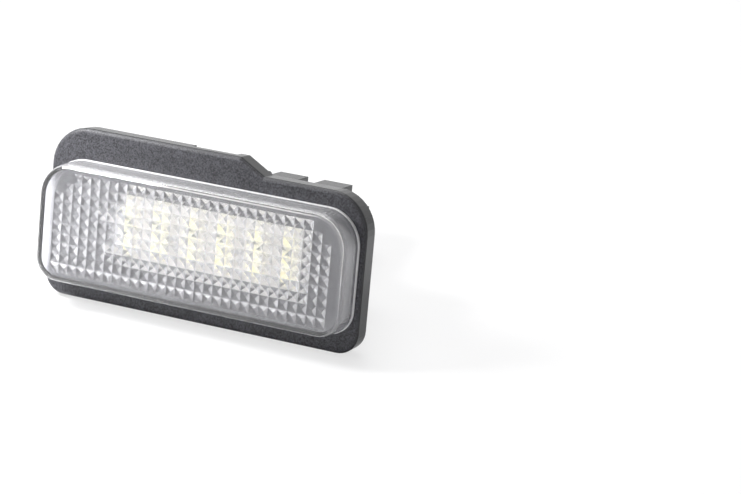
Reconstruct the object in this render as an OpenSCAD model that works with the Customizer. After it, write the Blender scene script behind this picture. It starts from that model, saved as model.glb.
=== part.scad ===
// LED number plate lamp: a clear prismatic lens on a black housing that clips into a body panel.
// The lens faces -Y, the panel side and the socket face +Y, and +Z is up to the raised edge.
// The modules measure x from the middle of the flange, y from its front face and z from its bottom edge.
// The finished part has its origin in the middle of the flange, level with the rim that seats on the panel.

/* [Flange] */
// Length of the flange
flange_w = 84.5; // [84:0.5:90]
// Height of the flange at its raised edge
flange_h = 41.3; // [41:0.1:43]
// Height of the flange at its lower edge
flange_low_h = 37.7; // [37.5:0.1:38.5]
// Where the slope between the two heights starts
step_x = 8.3; // [6.5:0.1:10]
// Length of that slope
step_w = 6.5; // [5:0.5:8]
// Radius of the two upper corners
corner_top_r = 9.5; // [8:0.5:11]
// Radius of the two lower corners
corner_bottom_r = 5.2; // [4:0.2:6]
// Narrowing of each side of the flange from front to back
flange_draft = 0.2; // [0.1:0.05:0.3]
// Depth of the rim round the gasket, from the front face
rim_d = 5; // [4.6:0.2:6]
// Thickness of the rim
rim_t = 1.2; // [1:0.1:1.5]
// Thickness of the plate behind the lens
plate_t = 2; // [1.6:0.1:2.2]
// Width of the notch that lets a tool in to the clip
notch_w = 12; // [10:0.5:14]
// Depth of both notches in the rim
notch_d = 2; // [1:0.1:2.2]

/* [Housing box] */
// Left side of the box where it leaves the flange
box_x0 = -28.8; // [-29.6:0.2:-28]
// Right side of the box where it leaves the flange
box_x1 = 30.3; // [29.5:0.2:31]
// Draft of each side over the depth of the box
box_draft = 0.6; // [0.2:0.1:1]
// Underside of the box
box_z0 = 8.5; // [8:0.1:9]
// Top of the box behind the step
box_z1 = 27.4; // [27:0.1:28]
// Top of the plinth that fills the gasket
plinth_z = 30.3; // [29.6:0.1:31]
// Depth of the plinth from the front face
plinth_d = 6.3; // [5.8:0.1:7.5]
// Depth of the box from the front face
box_d = 27.2; // [26.5:0.1:29]
// Thickness of the box walls
wall = 1.8; // [1.5:0.1:2]
// Height of the two skids under the box
skid_h = 1.8; // [1:0.1:2]
// Width of each skid
skid_w = 5.1; // [4:0.1:6]

/* [Windows] */
// Width of each cooling window in the top of the box
window_w = 13.2; // [11:0.2:13.4]
// Left side of the left window
window_a_x = -22.9; // [-23.2:0.1:-22.4]
// Left side of the right window
window_b_x = 12.7; // [12.4:0.1:13]
// Width of the bar between a window and the rear wall
window_bar = 1.9; // [1.8:0.1:2.6]

/* [Socket] */
// Middle of the socket
socket_x = 1.35; // [0.8:0.05:1.8]
// Width of the socket
socket_w = 30.4; // [29:0.2:31]
// Underside of the socket
socket_z0 = 12.3; // [12:0.1:12.6]
// Top of the socket's shoulders
socket_z1 = 23; // [22.6:0.1:23.4]
// Depth of the socket's mouth from the front face
socket_d = 54.4; // [52:0.2:58]
// Depth of the space that takes the plug
socket_reach = 22; // [18:0.5:23]
// Width of each raised rail on the socket
rail_w = 7.8; // [7:0.1:8.2]
// Gap between the two rails
rail_gap = 4.6; // [4:0.1:5]
// Width of each keyway inside a rail
keyway_w = 3.9; // [3.4:0.1:4.2]
// Height of the low rail under the socket
keel_h = 1.1; // [0.8:0.1:1.4]

/* [Spring clip] */
// Left side of the clip
clip_x = -4.2; // [-5:0.1:-3.6]
// Width of the clip
clip_w = 9.7; // [8:0.1:10]
// Thickness of the clip's leaf
clip_t = 1.6; // [1.3:0.1:1.9]
// Distance from the front face to the leaf's free end
clip_y = 7.2; // [6.9:0.1:8]
// Height of the leaf's free end above the bottom edge
clip_z = 36.9; // [36:0.1:37.4]
// Distance from the front face to the back of the clip's bend
clip_back = 22.8; // [22:0.1:24]

/* [Lens] */
// Length of the lens on the flange
lens_w = 82; // [81.4:0.1:82.2]
// Underside of the lens on the flange
lens_z0 = 4.5; // [4.2:0.1:4.5]
// Top of the lens on the flange
lens_z1 = 33.9; // [33.9:0.1:34.2]
// Height of the lens in front of the flange
lens_h = 7.6; // [6.8:0.1:8]
// Radius of the lens's upper corners
lens_top_r = 8.5; // [8.5:0.5:9.5]
// Radius of the lens's lower corners
lens_bottom_r = 6; // [5.5:0.5:7]
// Thickness of the lens's side wall
lens_wall = 1.5; // [1.2:0.1:1.5]
// Thickness of the lens's front wall
lens_front = 2; // [1.6:0.1:2.2]
// Rounding of the lens's front edge
lens_round = 1.6; // [1:0.1:1.8]
// Width of one prism
prism_w = 2.46; // [2.4:0.02:2.5]
// Height of one prism
prism_h = 0.6; // [0.4:0.1:1.1]

/* [Gasket] */
// Depth of the foam's sealing face from the front face
gasket_d = 5.8; // [5.5:0.1:6.2]
// Gap between the foam and the rim
gasket_gap = 0.5; // [0.3:0.1:0.8]
// Clearance between the foam and the plinth
gasket_fit = 0.1; // [0.05:0.05:0.2]

/* [Light unit] */
// Middle of the lamps on the board
unit_x = 3.6; // [3.4:0.1:3.8]
// Length of the circuit board
board_w = 48.6; // [48.2:0.1:49.4]
// Underside of the circuit board
board_z0 = 12; // [11.6:0.1:12.2]
// Top of the circuit board
board_z1 = 28.6; // [28.2:0.1:29]
// Thickness of the circuit board
board_t = 1.2; // [0.8:0.1:1.2]
// Distance between columns of lamps
led_pitch_x = 8.55; // [8.4:0.05:8.6]
// Distance between rows of lamps
led_pitch_z = 4.3; // [4.25:0.05:4.4]
// Height of the lowest row of lamps
led_z = 16.6; // [16.5:0.1:16.7]
// Middle of the heat sink
sink_x = 1.8; // [1.6:0.1:2]
// Length of the heat sink
sink_w = 49.2; // [48.8:0.2:49.6]
// Thickness of the heat sink's sheet
sink_t = 1.5; // [1.2:0.1:1.5]
// Drop from the top of the box to the heat sink
sink_drop = 2.6; // [2.5:0.1:2.9]
// Width of a contact blade
blade_w = 2.8; // [2.4:0.1:3]
// Thickness of the contact strip
blade_t = 0.8; // [0.6:0.1:0.9]
// Distance between the two contacts
blade_pitch = 8.6; // [8:0.1:9]

/* [Hidden] */
$fn = 48;
eps = 0.01;
// driving dimensions that don't change with the car it fits
edge_r = 0.9;
corner_notch_w = 4.9;
corner_notch_h = 11.8;
lens_draft = 0.15;
lens_lip_h = 0.8;
lens_lip_w = 0.15;
prism_cols = 30;
prism_rows = 10;
led_cols = 6;
led_rows = 3;
led_w = 3.5;
led_l = 2.8;
led_t = 1.9;
chip_w = 2;
chip_l = 1.25;
chip_t = 0.5;
chip_shift = 0.6;
diode_w = 1.7;
diode_l = 1.2;
diode_t = 0.95;
board_shift = 1;
stake_r = 0.9;
stake_head_r = 1.25;
stake_x = 21.3;
stake_z = 13.85;
stake_hole_x = 24.3;
stake_hole_r = 0.55;
lead_w = 1.2;
lead_fit = 0.6;
sink_fit = 0.3;
sink_rear = 0.4;
sink_face = 9.2;
bend_r = 2.6;
bend_turn = 78;
bend_z = 4.7;
tip_back = 6.4;
stake_fit = 0.05;
// derived places
half = flange_w / 2;
step_len = sqrt(step_w * step_w + pow(flange_h - flange_low_h, 2));
step_tan = (step_len - step_w) / (flange_h - flange_low_h);
cavity_x0 = box_x0 + box_draft + wall;
cavity_x1 = box_x1 - box_draft - wall;
cavity_z0 = box_z0 + wall;
cavity_z1 = box_z1 - wall;
cavity_d = box_d - wall;
socket_floor = socket_d - socket_reach;
rail_z = box_z1 + 0.1;
channel_z = socket_z1 + 1.5;
sink_z = box_z1 - sink_drop;
sink_x0 = sink_x - sink_w / 2;
sink_x1 = sink_x + sink_w / 2;
sink_z0 = sink_z - sink_face;
sink_d = cavity_d - sink_rear;
blade_z = 19;
blade_tip = socket_d - tip_back;
lead_x = led_pitch_x;
row_z = led_z + led_pitch_z;
chip_z = led_z + 1.5 * led_pitch_z;
prism_y = -(lens_h - lens_front);
prism_field_x = -prism_cols * prism_w / 2;
prism_field_z = (lens_z0 + lens_z1 - prism_rows * prism_w) / 2;
LEDS = [for (c = [0 : led_cols - 1]) for (r = [0 : led_rows - 1]) str("led_", c + 1, "_", r + 1)];
CHIPS = [for (c = [0 : led_cols - 1]) str("resistor_", c + 1)];

// helpers

// points on an arc about c, from angle a to angle b
function arc(c, r, a, b, n = 10) =
    [for (i = [0 : n]) c + r * [cos(a + (b - a) * i / n), sin(a + (b - a) * i / n)]];

// rounded outline of the flange in x and z, moved inwards by i
function flange_pts(i) = concat(
    arc([half - corner_bottom_r, corner_bottom_r], corner_bottom_r - i, -90, 0),
    arc([half - corner_top_r, flange_low_h - corner_top_r], corner_top_r - i, 0, 90),
    [[step_x + step_w - i * step_tan, flange_low_h - i], [step_x - i * step_tan, flange_h - i]],
    arc([-half + corner_top_r, flange_h - corner_top_r], corner_top_r - i, 90, 180),
    arc([-half + corner_bottom_r, corner_bottom_r], corner_bottom_r - i, 180, 270));

// rounded outline of the lens in x and z, moved inwards by i
function lens_pts(i) = concat(
    arc([lens_w / 2 - lens_bottom_r, lens_z0 + lens_bottom_r], lens_bottom_r - i, -90, 0),
    arc([lens_w / 2 - lens_top_r, lens_z1 - lens_top_r], lens_top_r - i, 0, 90),
    arc([-lens_w / 2 + lens_top_r, lens_z1 - lens_top_r], lens_top_r - i, 90, 180),
    arc([-lens_w / 2 + lens_bottom_r, lens_z0 + lens_bottom_r], lens_bottom_r - i, 180, 270));

// puts the origin in the middle of the flange, level with the edge of its rim
module seated() {
    translate([0, -rim_d, -flange_h / 2]) children();
}

// an outline in x and z, drawn out from y0 to y1
module slab(y0, y1) {
    translate([0, y1, 0]) rotate([90, 0, 0]) linear_extrude(y1 - y0) children();
}

// an outline in x and y, drawn up from z0 to z1
module rise(z0, z1) {
    translate([0, 0, z0]) linear_extrude(z1 - z0) children();
}

// an outline in y and z, drawn across from x0 to x1
module across(x0, x1) {
    translate([x0, 0, 0]) rotate([90, 0, 90]) linear_extrude(x1 - x0) children();
}

// a block between two corners
module block(a, b) {
    translate(a) cube(b - a);
}

// skin over a stack of rings of n points each, from the front ring to the last one
function skins(n, count) = [for (s = [0 : count - 2]) for (i = [0 : n - 1])
    [s * n + i, s * n + (i + 1) % n, (s + 1) * n + (i + 1) % n, (s + 1) * n + i]];

// housing: one black moulding

// flange plate with its rim and the two notches in the rim
module flange() {
    // rings from the front: [depth, inset]
    rings = concat([for (a = [0 : 30 : 90]) [edge_r * (1 - cos(a)), edge_r * (1 - sin(a))]],
        [[rim_d, flange_draft], [rim_d, flange_draft + rim_t], [plate_t, flange_draft + rim_t]]);
    n = len(flange_pts(0));
    m = len(rings);
    difference() {
        polyhedron(
            points = [for (g = rings) for (p = flange_pts(g[1])) [p.x, g[0], p.y]],
            faces = concat([[for (i = [n - 1 : -1 : 0]) i]], skins(n, m),
                [[for (i = [0 : n - 1]) (m - 1) * n + i]]));
        block([-notch_w / 2, rim_d - notch_d, flange_h - 3], [notch_w / 2, rim_d + 1, flange_h + 1]);
        block([-half - 1, rim_d - notch_d, flange_h - corner_notch_h],
            [-half + corner_notch_w, rim_d + 1, flange_h + 1]);
    }
}

// box behind the flange with its plinth and skids, still solid
module box_body() {
    block([box_x0, plate_t / 2, box_z0 - skid_h - 1.5], [box_x1, plinth_d, plinth_z]);
    intersection() {
        rise(box_z0, box_z1) polygon([[box_x0, plinth_d], [box_x1, plinth_d],
            [box_x1 - box_draft, box_d], [box_x0 + box_draft, box_d]]);
        across(box_x0 - 1, box_x1 + 1) polygon(concat([[plinth_d - 1, box_z0 - 1]], [[box_d, box_z0 - 1]],
            arc([box_d - window_bar, box_z1 - window_bar], window_bar, 0, 90, 6),
            [[plinth_d - 1, box_z1]]));
    }
    for (x = [box_x0 + box_draft, box_x1 - box_draft - skid_w])
        slab(plinth_d - 1, box_d) polygon(concat(
            arc([x + skid_w - 1, box_z0 - skid_h + 1], 1, -90, 0, 4), [[x + skid_w, box_z0 + 1]],
            [[x, box_z0 + 1]], arc([x + 1, box_z0 - skid_h + 1], 1, 180, 270, 4)));
}

// socket with its rails, keel and shoulders, still solid
module socket_body() {
    w = socket_w / 2;
    g = rail_gap / 2;
    y0 = box_d - 1;
    slab(y0, socket_d) polygon([
        [socket_x - w, socket_z0], [socket_x + w, socket_z0],
        [socket_x + w, socket_z1], [socket_x + g + rail_w, socket_z1],
        [socket_x + g + rail_w, channel_z], [socket_x - g - rail_w, channel_z],
        [socket_x - g - rail_w, socket_z1], [socket_x - w, socket_z1]]);
    block([socket_x - w + 4.8, y0, socket_z0 - keel_h], [socket_x + w - 4.8, socket_d, socket_z0 + 1]);
    for (s = [-1, 1])
        rise(channel_z - 1, rail_z) polygon([
            [socket_x + s * (g - 0.4), y0], [socket_x + s * (g + rail_w + 0.4), y0],
            [socket_x + s * (g + rail_w), socket_d], [socket_x + s * g, socket_d]]);
}

// space for the plug: a wide mouth with two keyways above and two sills below
module socket_space() {
    w = socket_w / 2 - 2;
    m = rail_gap / 2 + rail_w / 2;
    slab(socket_floor, socket_d + 1) polygon([
        [socket_x - w, socket_z0 + 2.9], [socket_x - 8.3, socket_z0 + 2.9],
        [socket_x - 8.3, socket_z0 + 1.5], [socket_x + 8.3, socket_z0 + 1.5],
        [socket_x + 8.3, socket_z0 + 2.9], [socket_x + w, socket_z0 + 2.9],
        [socket_x + w, socket_z1 - 1.4], [socket_x - w, socket_z1 - 1.4]]);
    block([socket_x - m, socket_floor, socket_z1 - 2], [socket_x + m, socket_d + 1, socket_z1 + 0.2]);
    for (s = [-1, 1])
        block([socket_x + s * m - keyway_w / 2, socket_floor, socket_z1 - 2],
            [socket_x + s * m + keyway_w / 2, socket_d + 1, rail_z - 1.2]);
    block([socket_x - w - 3, socket_d - 10.6, socket_z0 + 1.8],
        [socket_x + w + 3, socket_d - 1.9, socket_z0 + 8.2]);
}

// spring leaf that grips the panel: a web on the box, a bend, and the leaf to its free end
module clip() {
    rise_z = box_z1 - 1;
    bend = [clip_back - bend_r, clip_z - bend_z];
    leaf_end = [clip_y, clip_z];
    across(clip_x, clip_x + clip_w) polygon(concat(
        [[clip_back - clip_t, rise_z], [clip_back, rise_z]],
        arc(bend, bend_r, 0, bend_turn, 6),
        [leaf_end, leaf_end + [0.1, -clip_t]],
        arc(bend, bend_r - clip_t, bend_turn, 0, 6)));
    across(clip_x + 3.6, clip_x + 6.1) polygon([leaf_end + [-1.1, 0.1], leaf_end + [-1.1, 0.8],
        leaf_end + [1.6, 0.6], leaf_end + [2.4, -1], leaf_end + [0.6, -1]]);
}

module housing() {
    color("#2b2c2d") seated() {
        difference() {
            union() {
                flange();
                box_body();
                socket_body();
            }
            // hollow of the box, and the opening in the plate for the heat sink
            block([cavity_x0, plate_t + 0.6, cavity_z0], [cavity_x1, cavity_d, cavity_z1]);
            block([sink_x0 - sink_fit, -1, sink_z0 - sink_fit],
                [sink_x1 + sink_fit, plate_t + 2, sink_z + sink_fit]);
            // cooling windows
            for (x = [window_a_x, window_b_x])
                block([x, plinth_d, cavity_z1 - 1], [x + window_w, box_d - window_bar, box_z1 + 1]);
            socket_space();
            // the shoulders and the channel stop short of the box
            for (x = [socket_x - socket_w / 2 - 1, socket_x + rail_gap / 2 + rail_w + 0.4])
                block([x, box_d, socket_z1 - 3.2], [x + socket_w / 2 - rail_gap / 2 - rail_w + 0.6,
                    box_d + 3.8, socket_z1 + 1]);
            block([socket_x - rail_gap / 2 + 0.4, box_d, socket_z1 - 1.7],
                [socket_x + rail_gap / 2 - 0.4, box_d + 2.4, rail_z - 1]);
            // slots the contacts are moulded into
            for (s = [-1, 1])
                block([socket_x + s * blade_pitch / 2 - blade_w / 2, cavity_d - 1, blade_z - blade_t / 2],
                    [socket_x + s * blade_pitch / 2 + blade_w / 2, socket_floor + 1, blade_z + blade_t / 2]);
            // parting line of the mould across the top of the box
            block([box_x0 - 1, 16.9, box_z1 - 0.2], [clip_x - 0.6, 17.15, box_z1 + 1]);
        }
        clip();
        // shelf that carries the back edge of the heat sink
        block([sink_x0 + 2, cavity_d - 1.4, sink_z - sink_t - 1.5], [sink_x1 - 2, cavity_d + eps,
            sink_z - sink_t]);
        // two stakes that hold the board
        for (s = [-1, 1]) translate([unit_x + s * stake_x, 0, stake_z]) rotate([90, 0, 0]) {
            translate([0, 0, -1]) cylinder(r = stake_r, h = board_t + 1 + eps);
            translate([0, 0, board_t]) cylinder(r1 = stake_head_r, r2 = stake_head_r - 0.4, h = 0.5);
        }
    }
}

// lens: one clear moulding with pyramid prisms inside

module lens() {
    r = lens_round;
    // rings from the front face round the side to the inside: [height, inset]
    rings = concat(
        [for (a = [90 : -22.5 : 0]) [lens_h - r + r * sin(a), lens_lip_w + lens_draft + r * (1 - cos(a))]],
        [[lens_lip_h, lens_lip_w], [lens_lip_h, 0], [0, 0], [0, lens_wall],
            [lens_h - lens_front, lens_wall + lens_draft]]);
    n = len(lens_pts(0));
    q = n / 4;
    k = (len(rings) - 1) * n;
    ring_pts = [for (g = rings) for (p = lens_pts(g[1])) [p.x, -g[0], p.y]];
    // prism field: corners of the cells, then one tip for each cell
    nx = prism_cols;
    nz = prism_rows;
    g0 = len(ring_pts);
    t0 = g0 + (nx + 1) * (nz + 1);
    grid = [for (j = [0 : nz]) for (i = [0 : nx])
        [prism_field_x + i * prism_w, prism_y, prism_field_z + j * prism_w]];
    tips = [for (j = [0 : nz - 1]) for (i = [0 : nx - 1])
        [prism_field_x + (i + 0.5) * prism_w, prism_y + prism_h, prism_field_z + (j + 0.5) * prism_w]];
    function g(i, j) = g0 + j * (nx + 1) + i;
    function t(i, j) = t0 + j * nx + i;
    // the rounded upper corners of the lens leave no room for three of the cells
    function cut(i, j) = min(i, nx - 1 - i) + nz - 1 - j < 2;
    // the edge of the field in each corner, and where the corner's fan passes on to the next point of it
    edges = [[g(nx, 0)],
        [g(nx, nz - 2), g(nx - 1, nz - 2), g(nx - 1, nz - 1), g(nx - 2, nz - 1), g(nx - 2, nz)],
        [g(2, nz), g(2, nz - 1), g(1, nz - 1), g(1, nz - 2), g(0, nz - 2)],
        [g(0, 0)]];
    turns = [[0, 10], [0, 3, 5, 6, 8, 10], [0, 2, 4, 5, 7, 10], [0, 10]];
    sides = [[for (j = [0 : nz - 2]) g(nx, j)], [for (i = [nx - 2 : -1 : 2]) g(i, nz)],
        [for (j = [nz - 2 : -1 : 0]) g(0, j)], [for (i = [0 : nx]) g(i, 0)]];
    color("#dfe6ea", 0.6) seated() polyhedron(
        points = concat(ring_pts, grid, tips),
        faces = concat(
            [[for (i = [n - 1 : -1 : 0]) i]], skins(n, len(rings)),
            // prisms
            [for (j = [0 : nz - 1]) for (i = [0 : nx - 1]) if (!cut(i, j)) each [
                [g(i, j), g(i + 1, j), t(i, j)], [g(i + 1, j), g(i + 1, j + 1), t(i, j)],
                [g(i + 1, j + 1), g(i, j + 1), t(i, j)], [g(i, j + 1), g(i, j), t(i, j)]]],
            // plain border round the prisms: the four corners, then the strips between them
            [for (s = [0 : 3]) for (m = [0 : len(edges[s]) - 1]) for (i = [turns[s][m] : turns[s][m + 1] - 1])
                [edges[s][m], k + s * q + i, k + s * q + i + 1]],
            [for (s = [1 : 2]) for (m = [0 : 3]) [edges[s][m], k + s * q + turns[s][m + 1], edges[s][m + 1]]],
            [for (s = [0 : 3]) let (e = sides[s], m = floor(len(e) / 2), a = k + s * q + q - 1,
                b = k + (s + 1) * q % n) each concat(
                    [for (i = [0 : m - 1]) [a, e[i + 1], e[i]]], [[a, b, e[m]]],
                    [for (i = [m : len(e) - 2]) [b, e[i + 1], e[i]]])]));
}

// gasket: one piece of closed-cell foam

module gasket() {
    i = flange_draft + rim_t + gasket_gap;
    color("#3a3532") seated() slab(plate_t, gasket_d) difference() {
        polygon(flange_pts(i));
        translate([box_x0 - gasket_fit, box_z0 - skid_h - 1.5 - gasket_fit])
            square([box_x1 - box_x0 + 2 * gasket_fit, plinth_z - box_z0 + skid_h + 1.5 + 2 * gasket_fit]);
    }
}

// heat sink: folded aluminium sheet behind the board

module heat_sink() {
    color("#cfd2d4") seated() difference() {
        union() {
            block([sink_x0, 0, sink_z0], [sink_x1, sink_t, sink_z]);
            block([sink_x0, 0, sink_z - sink_t], [sink_x1, sink_d, sink_z]);
        }
        for (s = [-1, 1])
            block([unit_x + s * lead_x - lead_w / 2 - lead_fit, -1, blade_z - blade_t / 2 - lead_fit],
                [unit_x + s * lead_x + lead_w / 2 + lead_fit, sink_t + 1, blade_z + blade_t / 2 + lead_fit]);
    }
}

// circuit board, its parts and the contacts

module circuit_board() {
    x0 = unit_x + board_shift - board_w / 2;
    color("#f2f1ea") seated() difference() {
        union() {
            block([x0, -board_t, board_z0], [x0 + board_w, 0, board_z1]);
            // two tongues that locate the board on the flange plate
            block([x0 - 6.8, -board_t, row_z + 1.2], [x0 + 1, 0, row_z + 2.8]);
            block([x0 - 4.6, -board_t, board_z0 + 0.8], [x0 + 1, 0, board_z0 + 3]);
        }
        for (s = [-1, 1]) {
            translate([unit_x + s * stake_x, 0.5, stake_z]) rotate([90, 0, 0])
                cylinder(r = stake_r + stake_fit, h = board_t + 1);
            block([unit_x + s * lead_x - lead_w / 2, -board_t - 1, blade_z - blade_t / 2],
                [unit_x + s * lead_x + lead_w / 2, 1, blade_z + blade_t / 2]);
        }
        // small locating hole beside the right stake
        translate([unit_x + stake_hole_x, 0.5, stake_z]) rotate([90, 0, 0])
            cylinder(r = stake_hole_r, h = board_t + 1);
    }
}

// surface-mount lamp: moulded package with a round well and two folded feet
module led(c, r) {
    x = unit_x + (c - (led_cols - 1) / 2) * led_pitch_x;
    z = led_z + r * led_pitch_z;
    color("#f4e9b8") seated() difference() {
        union() {
            block([x - led_w / 2 + 0.15, -board_t - led_t, z - led_l / 2],
                [x + led_w / 2 - 0.15, -board_t, z + led_l / 2]);
            for (s = [-1, 1])
                block([x + s * (led_w / 2 - 0.4) - 0.4, -board_t - led_t * 0.55, z - led_l / 2 + 0.3],
                    [x + s * (led_w / 2 - 0.4) + 0.4, -board_t, z + led_l / 2 - 0.3]);
        }
        translate([x, -board_t - led_t + 0.15, z]) rotate([90, 0, 0]) cylinder(r = 1.2, h = 1);
    }
}

// chip resistor of one column of lamps
module resistor(c) {
    x = unit_x + (c - (led_cols - 1) / 2) * led_pitch_x - chip_shift;
    color("#565b58") seated() block([x - chip_w / 2, -board_t - chip_t, chip_z - chip_l / 2],
        [x + chip_w / 2, -board_t, chip_z + chip_l / 2]);
}

// diode that guards the lamps against a wrong connection
module diode() {
    x = unit_x - 2.5 * led_pitch_x;
    z = led_z + 0.5 * led_pitch_z;
    w = diode_w / 2;
    color("#232323") seated() {
        block([x - w, -board_t - diode_t, z - diode_l / 2], [x + w, -board_t, z + diode_l / 2]);
        block([x - w - 0.4, -board_t - 0.3, z - diode_l / 4], [x + w + 0.4, -board_t, z + diode_l / 4]);
    }
}

// contact strip from the socket to the board: s is -1 for the left one and 1 for the right one
module contact(s) {
    x = socket_x + s * blade_pitch / 2;
    l = unit_x + s * lead_x;
    b = blade_w / 2;
    w = lead_w / 2;
    y0 = cavity_d - 3;
    color("#c9a86a") seated() rise(blade_z - blade_t / 2, blade_z + blade_t / 2) polygon(s > 0
        ? [[x - b + 0.7, blade_tip], [x - b, blade_tip - 1.6], [x - b, y0 - lead_w], [l - w, y0 - lead_w],
            [l - w, -board_t - 0.6], [l + w, -board_t - 0.6], [l + w, y0], [x + b, y0],
            [x + b, blade_tip - 1.6], [x + b - 0.7, blade_tip]]
        : [[x + b - 0.7, blade_tip], [x + b, blade_tip - 1.6], [x + b, y0 - lead_w], [l + w, y0 - lead_w],
            [l + w, -board_t - 0.6], [l - w, -board_t - 0.6], [l - w, y0], [x - b, y0],
            [x - b, blade_tip - 1.6], [x - b + 0.7, blade_tip]]);
}

// solder cone round the end of a contact on the face of the board
module solder(s) {
    l = unit_x + s * lead_x;
    color("#b9bcc0") seated() difference() {
        translate([l, -board_t, blade_z]) rotate([90, 0, 0]) cylinder(r1 = 1.25, r2 = 0.95, h = 0.5);
        block([l - lead_w / 2, -board_t - 1, blade_z - blade_t / 2],
            [l + lead_w / 2, 0, blade_z + blade_t / 2]);
    }
}

housing();
lens();
gasket();
heat_sink();
circuit_board();
diode();
contact(-1);  // contact_left
contact(1);  // contact_right
solder(-1);  // solder_left
solder(1);  // solder_right
for (c = [0 : led_cols - 1]) resistor(c);
for (c = [0 : led_cols - 1]) for (r = [0 : led_rows - 1])
    led(c, r);
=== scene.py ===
import math

import bmesh
import bpy
from mathutils import Euler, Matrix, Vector


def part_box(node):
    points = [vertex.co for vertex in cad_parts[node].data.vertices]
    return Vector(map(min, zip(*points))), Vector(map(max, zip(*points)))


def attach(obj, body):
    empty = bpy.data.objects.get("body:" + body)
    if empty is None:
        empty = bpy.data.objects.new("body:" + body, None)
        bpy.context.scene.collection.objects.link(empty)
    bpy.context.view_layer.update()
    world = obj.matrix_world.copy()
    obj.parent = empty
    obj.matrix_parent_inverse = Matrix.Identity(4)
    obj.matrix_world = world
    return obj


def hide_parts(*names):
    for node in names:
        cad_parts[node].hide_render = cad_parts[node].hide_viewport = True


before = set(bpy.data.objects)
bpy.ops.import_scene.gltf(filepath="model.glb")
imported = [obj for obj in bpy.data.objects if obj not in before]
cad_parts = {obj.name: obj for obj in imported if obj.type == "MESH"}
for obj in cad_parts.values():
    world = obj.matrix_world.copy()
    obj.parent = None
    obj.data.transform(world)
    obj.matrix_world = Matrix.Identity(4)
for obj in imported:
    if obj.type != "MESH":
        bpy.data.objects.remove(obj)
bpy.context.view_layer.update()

# Camera at the photograph's viewing angle: it stands 68 cm from the lamp with a long lens and
# looks slightly down on the lens side, with the plug side turned away behind the flange.
camera_data = bpy.data.cameras.new("camera")
camera_data.lens = 139.54
camera_data.sensor_width = 36
camera_data.clip_end = 10
camera = bpy.data.objects.new("camera", camera_data)
camera.location = (0.31493, -0.57940, 0.14899)
camera.rotation_euler = Euler([math.radians(turn) for turn in (77.2416, -5.1612, 26.4515)])
bpy.context.scene.collection.objects.link(camera)
bpy.context.scene.camera = camera


# Housing: one moulding in black ABS, as clip-in lamp bodies are. The front of the flange comes from
# a spark-eroded tool face, so it is matt and grey in the light, and the sides, the box and the
# socket come from a plain tool face and are smoother. Their darker colour is partly that smoother
# face and partly painted shade, standing in for the dim side of the studio that they face.

def linear(hex_colour):
    """An sRGB hex colour as linear red, green, blue and full alpha."""
    parts = [int(hex_colour[i:i + 2], 16) / 255 for i in (1, 3, 5)]
    return tuple(part / 12.92 if part <= 0.04045 else ((part + 0.055) / 1.055) ** 2.4
                 for part in parts) + (1.0,)


def add(tree, kind, settings=None, inputs=None):
    """Adds a node, sets its own settings, and sets or links its inputs."""
    node = tree.nodes.new(kind)
    for name, value in (settings or {}).items():
        setattr(node, name, value)
    for name, value in (inputs or {}).items():
        if isinstance(value, bpy.types.NodeSocket):
            tree.links.new(value, node.inputs[name])
        else:
            node.inputs[name].default_value = value
    return node


def finish_material(name, roughness, ior=1.5, metallic=0.0, colour="#808080"):
    """A new material with one Principled shader, its constants set on the shader's own sockets."""
    material = bpy.data.materials.new(name)
    material.use_nodes = True
    tree = material.node_tree
    tree.nodes.clear()
    shader = add(tree, "ShaderNodeBsdfPrincipled", inputs={
        "Base Color": linear(colour), "Roughness": roughness, "IOR": ior, "Metallic": metallic})
    add(tree, "ShaderNodeOutputMaterial", inputs={"Surface": shader.outputs["BSDF"]})
    return material, tree, shader


def per_metre(size_mm):
    """The scale of a pattern whose features have a real size in millimetres."""
    return 1000 / size_mm


def dress(node_names, material):
    """Gives CAD nodes one material."""
    for node_name in node_names:
        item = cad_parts[node_name]
        item.data.materials.clear()
        item.data.materials.append(material)


housing_low, housing_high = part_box("housing")
black_abs, tree, shader = finish_material("black_abs_moulded", 0.42, 1.53, colour="#2a2b2d")
shader.inputs["Specular IOR Level"].default_value = 0.28
place = add(tree, "ShaderNodeNewGeometry")
turned = add(tree, "ShaderNodeSeparateXYZ", inputs={"Vector": place.outputs["True Normal"]})
# 1 on what faces the viewer of the lens (the eroded tool face), 0 elsewhere
front = add(tree, "ShaderNodeMapRange", inputs={
    "Value": turned.outputs["Y"], "From Min": -0.55, "From Max": -0.8})
# eroded texture: craters about 0.12 mm across, drawn at 0.35 mm to show in the render
grain = add(tree, "ShaderNodeTexNoise", inputs={
    "Vector": place.outputs["Position"], "Scale": per_metre(0.3448),
    "Detail": 3.0, "Roughness": 0.65})
# flow marks of the moulding: soft clouds about 9 mm across
flow = add(tree, "ShaderNodeTexNoise", inputs={
    "Vector": place.outputs["Position"], "Scale": per_metre(9.09),
    "Detail": 2.0, "Roughness": 0.5})
# painted shade: colour A darkens every face that does not look to the front, partly for its
# smoother tool face and partly as shade painted into the colour
shade = add(tree, "ShaderNodeMix", {"data_type": "RGBA"}, {
    "A": linear("#1b1c1e"), "B": linear("#3b3b3f")})
tree.links.new(front.outputs["Result"], shade.inputs["Factor"])
speck = add(tree, "ShaderNodeMapRange", inputs={
    "Value": grain.outputs["Fac"], "From Min": 0.36, "From Max": 0.64,
    "To Min": 0.35, "To Max": 1.75})
cloud = add(tree, "ShaderNodeMapRange", inputs={
    "Value": flow.outputs["Fac"], "From Min": 0.3, "From Max": 0.7, "To Min": 0.94, "To Max": 1.06})
speckle = add(tree, "ShaderNodeMath", {"operation": "MULTIPLY"})
tree.links.new(speck.outputs["Result"], speckle.inputs[0])
tree.links.new(cloud.outputs["Result"], speckle.inputs[1])
tinted = add(tree, "ShaderNodeMix", {"data_type": "RGBA", "blend_type": "MULTIPLY"})
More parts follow.
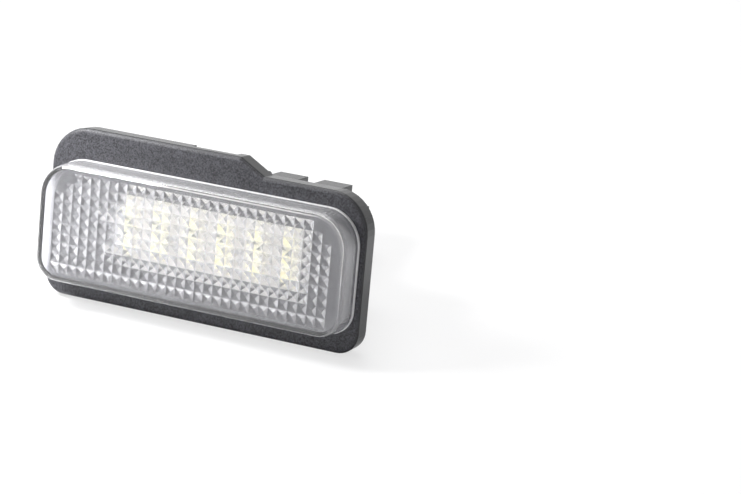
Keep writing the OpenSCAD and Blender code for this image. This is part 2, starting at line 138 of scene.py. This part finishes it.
# the specks belong to the eroded face and fade to a quarter on the smooth sides
grit = add(tree, "ShaderNodeMapRange", inputs={
    "Value": front.outputs["Result"], "To Min": 0.25, "To Max": 1.0})
tree.links.new(grit.outputs["Result"], tinted.inputs["Factor"])
tree.links.new(shade.outputs["Result"], tinted.inputs["A"])
tree.links.new(speckle.outputs["Value"], tinted.inputs["B"])
tree.links.new(tinted.outputs["Result"], shader.inputs["Base Color"])
gloss = add(tree, "ShaderNodeMapRange", inputs={
    "Value": front.outputs["Result"], "To Min": 0.18, "To Max": 0.46})
tree.links.new(gloss.outputs["Result"], shader.inputs["Roughness"])
depth = add(tree, "ShaderNodeMapRange", inputs={
    "Value": front.outputs["Result"], "To Min": 0.02, "To Max": 0.55})
# edges of a moulding are never sharp: about 0.2 mm round
edge_round = 0.0002
soft_edge = add(tree, "ShaderNodeBevel", {"samples": 6}, {"Radius": edge_round})
relief = add(tree, "ShaderNodeBump", inputs={
    "Distance": 0.0001, "Height": grain.outputs["Fac"], "Normal": soft_edge.outputs["Normal"]})
tree.links.new(depth.outputs["Result"], relief.inputs["Strength"])
tree.links.new(relief.outputs["Normal"], shader.inputs["Normal"])
dress(["housing"], black_abs)

# the two stake heads that hold the board were melted flat, which leaves them pale grey with
# swirls about 0.5 mm across
stake, tree, shader = finish_material("abs_stake_melted_grey", 0.4, 1.53, colour="#8b8b86")
place = add(tree, "ShaderNodeNewGeometry")
swirl = add(tree, "ShaderNodeTexNoise", inputs={
    "Vector": place.outputs["Position"], "Scale": per_metre(0.5556), "Detail": 2.0})
shade = add(tree, "ShaderNodeMix", {"data_type": "RGBA"}, {
    "Factor": swirl.outputs["Fac"], "A": linear("#7c7c78"), "B": linear("#9d9d98")})
tree.links.new(shade.outputs["Result"], shader.inputs["Base Color"])
housing_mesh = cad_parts["housing"].data
housing_mesh.materials.append(stake)
board_low, board_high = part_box("circuit_board")
for face in housing_mesh.polygons:
    if face.center.y < board_low.y:
        face.material_index = 1


# Lens: one clear moulding in polycarbonate, polished tool outside, with square pyramid prisms cut
# in the tool's core for the inside, which stay a little hazy. It is welded to the flange along
# its lip.
lens_low, lens_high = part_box("lens")
polycarbonate_index = 1.585
polycarbonate, tree, shader = finish_material(
    "clear_polycarbonate_polished", 0.05, polycarbonate_index, colour="#fcfcfe")
shader.inputs["Transmission Weight"].default_value = 0.97
place = add(tree, "ShaderNodeNewGeometry")
# faint waves of the moulded skin, about 6 mm long
waves = add(tree, "ShaderNodeTexNoise", inputs={
    "Vector": place.outputs["Position"], "Scale": per_metre(6.25), "Detail": 1.0})
ripple = add(tree, "ShaderNodeBump", inputs={
    "Strength": 0.15, "Distance": 0.00005, "Height": waves.outputs["Fac"]})
tree.links.new(ripple.outputs["Normal"], shader.inputs["Normal"])

# the cut facets scatter light: a haze that makes the prisms look silvery over the black flange
facets, tree, shader = finish_material(
    "polycarbonate_prism_facets_hazy", 0.26, polycarbonate_index, colour="#f6f6fa")
shader.inputs["Transmission Weight"].default_value = 0.85
place = add(tree, "ShaderNodeNewGeometry")
# tool marks in the facets, about 0.3 mm apart
marks = add(tree, "ShaderNodeTexNoise", inputs={
    "Vector": place.outputs["Position"], "Scale": per_metre(0.3125), "Detail": 2.0})
scuff = add(tree, "ShaderNodeBump", inputs={
    "Strength": 0.5, "Distance": 0.00003, "Height": marks.outputs["Fac"]})
tree.links.new(scuff.outputs["Normal"], shader.inputs["Normal"])

# the side walls slid along the tool as the lens came out, and its drag marks make them milky
walls, tree, shader = finish_material(
    "polycarbonate_side_wall_milky", 0.18, polycarbonate_index, colour="#f4f4f7")
shader.inputs["Transmission Weight"].default_value = 0.83
place = add(tree, "ShaderNodeNewGeometry")
# drag marks: lines along the way out of the tool, about 8 mm long, drawn 0.4 mm apart
dragged = add(tree, "ShaderNodeMapping", inputs={
    "Vector": place.outputs["Position"],
    "Scale": (per_metre(0.4), per_metre(8.333), per_metre(0.4))})
marks = add(tree, "ShaderNodeTexNoise", inputs={
    "Vector": dragged.outputs["Vector"], "Scale": 1.0, "Detail": 2.0})
drag = add(tree, "ShaderNodeBump", inputs={
    "Strength": 0.25, "Distance": 0.00003, "Height": marks.outputs["Fac"]})
tree.links.new(drag.outputs["Normal"], shader.inputs["Normal"])

# the weld lip, beaded about every 0.7 mm; its whitish, half-clear colour is a painted highlight,
# the bright line that refracted light draws along the lens base
weld, tree, shader = finish_material(
    "polycarbonate_weld_lip_painted_highlight", 0.25, polycarbonate_index, colour="#fbfbfc")
shader.inputs["Transmission Weight"].default_value = 0.25
place = add(tree, "ShaderNodeNewGeometry")
beads = add(tree, "ShaderNodeTexNoise", inputs={
    "Vector": place.outputs["Position"], "Scale": per_metre(0.6667), "Detail": 2.0})
bead = add(tree, "ShaderNodeBump", inputs={
    "Strength": 0.4, "Distance": 0.00005, "Height": beads.outputs["Fac"]})
tree.links.new(bead.outputs["Normal"], shader.inputs["Normal"])

# facets look to the back, the lip is the last 0.8 mm at the flange, walls look out to the sides
dress(["lens"], polycarbonate)
lens_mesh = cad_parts["lens"].data
lens_mesh.materials.append(facets)
lens_mesh.materials.append(weld)
lens_mesh.materials.append(walls)
lip_height = 0.0008
lens_middle = (lens_low.z + lens_high.z) / 2
for face in lens_mesh.polygons:
    if face.normal.y > 0.3 and face.center.y < lens_high.y - lip_height:
        face.material_index = 1
    elif face.center.y > lens_high.y - 1.2 * lip_height and face.normal.y < 0.3:
        face.material_index = 2
    elif abs(face.normal.y) < 0.75:
        outward = face.normal.x * face.center.x + face.normal.z * (face.center.z - lens_middle)
        face.material_index = 3 if outward > 0 else 0


# Foam seal: closed-cell EPDM foam, cut from sheet and laid in the rim behind the flange. Its
# sealing edge is soft and rounded, and the cut cells, about 0.4 mm wide, make it dull black.
foam, tree, shader = finish_material("epdm_foam_cut", 0.95, 1.45, colour="#1c1917")
shader.inputs["Specular IOR Level"].default_value = 0.2
place = add(tree, "ShaderNodeNewGeometry")
cells = add(tree, "ShaderNodeTexVoronoi", {"feature": "F1"}, {
    "Vector": place.outputs["Position"], "Scale": per_metre(0.3846)})
mottle = add(tree, "ShaderNodeTexNoise", inputs={
    "Vector": place.outputs["Position"], "Scale": per_metre(0.3846),
    "Detail": 3.0, "Roughness": 0.7})
shade = add(tree, "ShaderNodeMix", {"data_type": "RGBA"}, {
    "A": linear("#131110"), "B": linear("#57524f")})
# a few cell walls catch the light, so the mottle is stretched to open up light specks
spread = add(tree, "ShaderNodeMapRange", inputs={
    "Value": mottle.outputs["Fac"], "From Min": 0.48, "From Max": 0.78})
tree.links.new(spread.outputs["Result"], shade.inputs["Factor"])
tree.links.new(shade.outputs["Result"], shader.inputs["Base Color"])
pits = add(tree, "ShaderNodeBump", inputs={
    "Strength": 1.0, "Distance": 0.00025, "Height": cells.outputs["Distance"]})
tree.links.new(pits.outputs["Normal"], shader.inputs["Normal"])

dress(["gasket"], foam)

# the dressed seal keeps the outline of the plain foam and rounds its sealing edge inside and out
foam_low, foam_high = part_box("gasket")
foam_round = 0.0009
# the seal's window, which the plinth fills, lies inside these bounds
window_reach, window_bottom, window_top = 0.032, -0.017, 0.0115
foam_points = {(round(v.co.x, 6), round(v.co.z, 6))
               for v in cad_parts["gasket"].data.vertices}


def bearing(point):
    """The direction of a point seen from the middle of the flange."""
    return math.atan2(point[1], point[0])


window = sorted((point for point in foam_points if abs(point[0]) < window_reach
                 and window_bottom < point[1] < window_top), key=bearing)
outline = sorted((point for point in foam_points if point not in window), key=bearing)


def inset(loop, distance):
    """A closed loop of points, given against the clock, moved to its own inside by a distance."""
    moved = []
    for index, (x, z) in enumerate(loop):
        before, after = Vector(loop[index - 1]), Vector(loop[(index + 1) % len(loop)])
        first = (Vector((x, z)) - before).normalized()
        second = (after - Vector((x, z))).normalized()
        normal = Vector((-first.y - second.y, first.x + second.x))
        normal *= distance / (1 + first.dot(second))
        moved.append((x + normal.x, z + normal.y))
    return moved


foam_work = bmesh.new()
edge_steps = 6
levels = [(foam_low.y, 0.0)]
for step in range(edge_steps + 1):
    turn = math.radians(90 / edge_steps * step)
    levels.append((foam_high.y - foam_round * (1 - math.sin(turn)),
                   foam_round * (1 - math.cos(turn))))
for loop, sense in ((outline, 1), (window, -1)):
    rings = [[foam_work.verts.new((x, y, z)) for x, z in inset(loop, sense * depth)]
             for y, depth in levels]
    for lower, upper in zip(rings, rings[1:]):
        for index in range(len(loop)):
            follow = (index + 1) % len(loop)
            corners = [lower[index], lower[follow], upper[follow], upper[index]]
            foam_work.faces.new(corners if sense < 0 else corners[::-1])
for y in (foam_low.y, foam_high.y):
    rim_edges = [edge for edge in foam_work.edges
                 if all(abs(v.co.y - y) < 1e-6 for v in edge.verts)]
    bmesh.ops.triangle_fill(foam_work, use_beauty=True, edges=rim_edges)
bmesh.ops.recalc_face_normals(foam_work, faces=foam_work.faces)
foam_mesh = bpy.data.meshes.new("foam_seal_dressed")
foam_work.to_mesh(foam_mesh)
foam_work.free()
foam_mesh.materials.append(foam)
for face in foam_mesh.polygons:
    face.use_smooth = abs(face.normal.y) < 0.999
foam_seal = bpy.data.objects.new("foam_seal_dressed", foam_mesh)
bpy.context.scene.collection.objects.link(foam_seal)
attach(foam_seal, "root")
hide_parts("gasket")


# Heat sink: rolled aluminium sheet, cut and folded to an L, behind the board and under the windows
# in the top of the box. Rolling lines about 8 mm long run along it, drawn 0.4 mm apart.
sheet, tree, shader = finish_material(
    "aluminium_sheet_rolled", 0.45, metallic=1.0, colour="#f5f5f5")
place = add(tree, "ShaderNodeNewGeometry")
stretched = add(tree, "ShaderNodeMapping", inputs={
    "Vector": place.outputs["Position"],
    "Scale": (per_metre(8.333), per_metre(0.4), per_metre(0.4))})
lines = add(tree, "ShaderNodeTexNoise", inputs={
    "Vector": stretched.outputs["Vector"], "Scale": 1.0, "Detail": 3.0})
dull = add(tree, "ShaderNodeMapRange", inputs={
    "Value": lines.outputs["Fac"], "From Min": 0.3, "From Max": 0.7,
    "To Min": 0.40, "To Max": 0.52})
tree.links.new(dull.outputs["Result"], shader.inputs["Roughness"])
scratch = add(tree, "ShaderNodeBump", inputs={
    "Strength": 0.08, "Distance": 0.00002, "Height": lines.outputs["Fac"]})
tree.links.new(scratch.outputs["Normal"], shader.inputs["Normal"])
dress(["heat_sink"], sheet)


# Circuit board: glass-fibre board under white solder mask, which dips a little over the gaps
# between the copper areas, so faint lines of the copper pattern show through.
# the light-emitting packages repeat every 8.55 mm across and 4.3 mm up, and the copper with them
led_pitch_x, led_pitch_z = 0.00855, 0.0043
board_mask, tree, shader = finish_material("white_solder_mask_with_painted_glow", 0.35, 1.5, colour="#fafaf7")
place = add(tree, "ShaderNodeNewGeometry")
copper = add(tree, "ShaderNodeTexBrick", {"offset": 0.0}, {
    "Color1": linear("#eeece8"), "Color2": linear("#e9e7e2"), "Mortar": linear("#dad9d3"),
    "Scale": 1.0, "Mortar Size": 0.00012, "Mortar Smooth": 0.4,
    "Brick Width": led_pitch_x, "Row Height": led_pitch_z})
upright = add(tree, "ShaderNodeSeparateXYZ", inputs={"Vector": place.outputs["Position"]})
flat = add(tree, "ShaderNodeCombineXYZ", inputs={
    "X": upright.outputs["X"], "Y": upright.outputs["Z"]})
tree.links.new(flat.outputs["Vector"], copper.inputs["Vector"])
tree.links.new(copper.outputs["Color"], shader.inputs["Base Color"])
# painted light: the mask glows a little, standing in for the studio light that reaches the board
# through the lens
tree.links.new(copper.outputs["Color"], shader.inputs["Emission Color"])
shader.inputs["Emission Strength"].default_value = 0.1
dress(["circuit_board"], board_mask)


# Light-emitting packages: a white thermoplastic frame with a round well full of yellow phosphor in
# clear silicone. The well is 2.4 mm wide, and the pattern of wells repeats with the packages.
led_low, led_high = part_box("led_1_1")
led_x = (led_low.x + led_high.x) / 2
led_z = (led_low.z + led_high.z) / 2
well_radius = 0.0012
well_blur = 0.00005
package, tree, shader = finish_material(
    "led_package_white_with_phosphor_and_painted_glow", 0.3, 1.5, colour="#f5f3ea")
place = add(tree, "ShaderNodeNewGeometry")
split = add(tree, "ShaderNodeSeparateXYZ", inputs={"Vector": place.outputs["Position"]})
centred = []
for axis, middle, pitch in (("X", led_x, led_pitch_x), ("Z", led_z, led_pitch_z)):
    shifted = add(tree, "ShaderNodeMath", {"operation": "SUBTRACT"})
    tree.links.new(split.outputs[axis], shifted.inputs[0])
    shifted.inputs[1].default_value = middle - pitch / 2
    wrapped = add(tree, "ShaderNodeMath", {"operation": "FLOORED_MODULO"})
    tree.links.new(shifted.outputs["Value"], wrapped.inputs[0])
    wrapped.inputs[1].default_value = pitch
    back = add(tree, "ShaderNodeMath", {"operation": "SUBTRACT"})
    tree.links.new(wrapped.outputs["Value"], back.inputs[0])
    back.inputs[1].default_value = pitch / 2
    centred.append(back)
offset = add(tree, "ShaderNodeCombineXYZ", inputs={
    "X": centred[0].outputs["Value"], "Y": centred[1].outputs["Value"]})
away = add(tree, "ShaderNodeVectorMath", {"operation": "LENGTH"}, {
    "Vector": offset.outputs["Vector"]})
well = add(tree, "ShaderNodeMapRange", inputs={
    "Value": away.outputs["Value"], "From Min": well_radius - well_blur,
    "From Max": well_radius + well_blur, "To Min": 1.0, "To Max": 0.0})
shade = add(tree, "ShaderNodeMix", {"data_type": "RGBA"}, {
    "Factor": well.outputs["Result"], "A": linear("#fbf8e2"), "B": linear("#fcf6cc")})
tree.links.new(shade.outputs["Result"], shader.inputs["Base Color"])
# the whole package glows, which is painted light standing in for the studio light that reaches it
# through the lens; the phosphor's real fluorescence, which turns blue light yellow, is only a small
# part of it
tree.links.new(shade.outputs["Result"], shader.inputs["Emission Color"])
shader.inputs["Emission Strength"].default_value = 0.42
dress([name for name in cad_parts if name.startswith("led_")], package)


# Small parts on the board: resistors under dark glaze and a diode in dark moulded epoxy, soldered
# beside the packages. Their surface is mottled about every 0.3 mm.
glaze, tree, shader = finish_material("resistor_dark_glaze", 0.35, 1.55, colour="#5c625e")
place = add(tree, "ShaderNodeNewGeometry")
mottle = add(tree, "ShaderNodeTexNoise", inputs={
    "Vector": place.outputs["Position"], "Scale": per_metre(0.3333), "Detail": 2.0})
shade = add(tree, "ShaderNodeMix", {"data_type": "RGBA"}, {
    "Factor": mottle.outputs["Fac"], "A": linear("#4e5450"), "B": linear("#6c736e")})
tree.links.new(shade.outputs["Result"], shader.inputs["Base Color"])
dress([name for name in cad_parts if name.startswith("resistor_")] + ["diode"], glaze)


# Contacts: stamped brass strip with a tin finish, moulded into the housing, with drawing lines
# about 5 mm long and 0.2 mm apart, and the solder round their ends on the board.
tinned, tree, shader = finish_material("brass_strip_tinned", 0.28, metallic=1.0, colour="#dad6ca")
place = add(tree, "ShaderNodeNewGeometry")
drawn = add(tree, "ShaderNodeMapping", inputs={
    "Vector": place.outputs["Position"],
    "Scale": (per_metre(0.2), per_metre(5), per_metre(0.2))})
lines = add(tree, "ShaderNodeTexNoise", inputs={
    "Vector": drawn.outputs["Vector"], "Scale": 1.0, "Detail": 2.0})
dull = add(tree, "ShaderNodeMapRange", inputs={
    "Value": lines.outputs["Fac"], "From Min": 0.3, "From Max": 0.7, "To Min": 0.2, "To Max": 0.4})
tree.links.new(dull.outputs["Result"], shader.inputs["Roughness"])
dress(["contact_left", "contact_right"], tinned)

solder, tree, shader = finish_material("solder_smooth", 0.3, metallic=1.0, colour="#c9cbce")
place = add(tree, "ShaderNodeNewGeometry")
# dimples of the cooled solder, about 0.4 mm apart
skin = add(tree, "ShaderNodeTexNoise", inputs={
    "Vector": place.outputs["Position"], "Scale": per_metre(0.4), "Detail": 2.0})
dimple = add(tree, "ShaderNodeBump", inputs={
    "Strength": 0.4, "Distance": 0.00005, "Height": skin.outputs["Fac"]})
tree.links.new(dimple.outputs["Normal"], shader.inputs["Normal"])
dress(["solder_left", "solder_right"], solder)


# Table: a white gloss board. The lamp lies back on it as in the photograph, on the bottom edge of
# its rim and the end of its socket, so the table slopes in the lamp's own frame.
table_mesh = bpy.data.meshes.new("table")
half_table = 3.0
table_slope = math.radians(12.55)
table_rise = 0.00015
table_mesh.from_pydata([(-half_table, -half_table, 0), (half_table, -half_table, 0),
                        (half_table, half_table, 0), (-half_table, half_table, 0)],
                       [], [(0, 1, 2, 3)])
table = bpy.data.objects.new("table", table_mesh)
table.rotation_euler = (table_slope, 0, 0)
table.location = (0, 0, housing_low.z + table_rise)
bpy.context.scene.collection.objects.link(table)
white, tree, shader = finish_material("table_white_gloss", 0.25, 1.45, colour="#f4f4f5")
# seen straight on, the board is lifted towards paper white, and the lamp's shadow stays on it
ray = add(tree, "ShaderNodeLightPath")
lift = add(tree, "ShaderNodeMath", {"operation": "MULTIPLY"})
tree.links.new(ray.outputs["Is Camera Ray"], lift.inputs[0])
lift.inputs[1].default_value = 0.7
glow = add(tree, "ShaderNodeEmission", inputs={"Color": linear("#ffffff"), "Strength": 1.0})
blend = add(tree, "ShaderNodeMixShader")
tree.links.new(lift.outputs["Value"], blend.inputs[0])
tree.links.new(shader.outputs["BSDF"], blend.inputs[1])
tree.links.new(glow.outputs["Emission"], blend.inputs[2])
tree.links.new(blend.outputs["Shader"], tree.nodes["Material Output"].inputs["Surface"])
table_mesh.materials.append(white)


# Light: a plain soft studio, one large softbox above and behind, a small one close on the left, and
# white paper all round, which the lens, the sheet metal and the glossy plastic show.
world = bpy.data.worlds.new("studio")
bpy.context.scene.world = world
world.use_nodes = True
tree = world.node_tree
tree.nodes.clear()
ray = add(tree, "ShaderNodeLightPath")
seen = add(tree, "ShaderNodeMath", {"operation": "MAXIMUM"})
tree.links.new(ray.outputs["Is Camera Ray"], seen.inputs[0])
tree.links.new(ray.outputs["Is Transmission Ray"], seen.inputs[1])
shown = add(tree, "ShaderNodeMath", {"operation": "MAXIMUM"})
tree.links.new(seen.outputs["Value"], shown.inputs[0])
tree.links.new(ray.outputs["Is Glossy Ray"], shown.inputs[1])
level = add(tree, "ShaderNodeMapRange", inputs={
    "Value": shown.outputs["Value"], "To Min": 0.3, "To Max": 1.0})
paper = add(tree, "ShaderNodeBackground", inputs={
    "Color": linear("#ffffff"), "Strength": level.outputs["Result"]})
add(tree, "ShaderNodeOutputWorld", inputs={"Surface": paper.outputs["Background"]})

for name, where, aim, size, power in (
        ("softbox_above", (-0.20, 0.15, 0.80), (0, 0, 0), 0.7, 6.0),
        ("softbox_left", (-0.10, -0.065, 0.09), (-0.03, 0, 0.015), 0.06, 0.52)):
    lamp_data = bpy.data.lights.new(name, "AREA")
    lamp_data.size = size
    lamp_data.energy = power
    lamp = bpy.data.objects.new(name, lamp_data)
    lamp.visible_camera = False
    lamp.location = where
    lamp.rotation_euler = (Vector(aim) - Vector(where)).to_track_quat("-Z", "Y").to_euler()
    bpy.context.scene.collection.objects.link(lamp)

bpy.context.scene.view_settings.view_transform = "Standard"
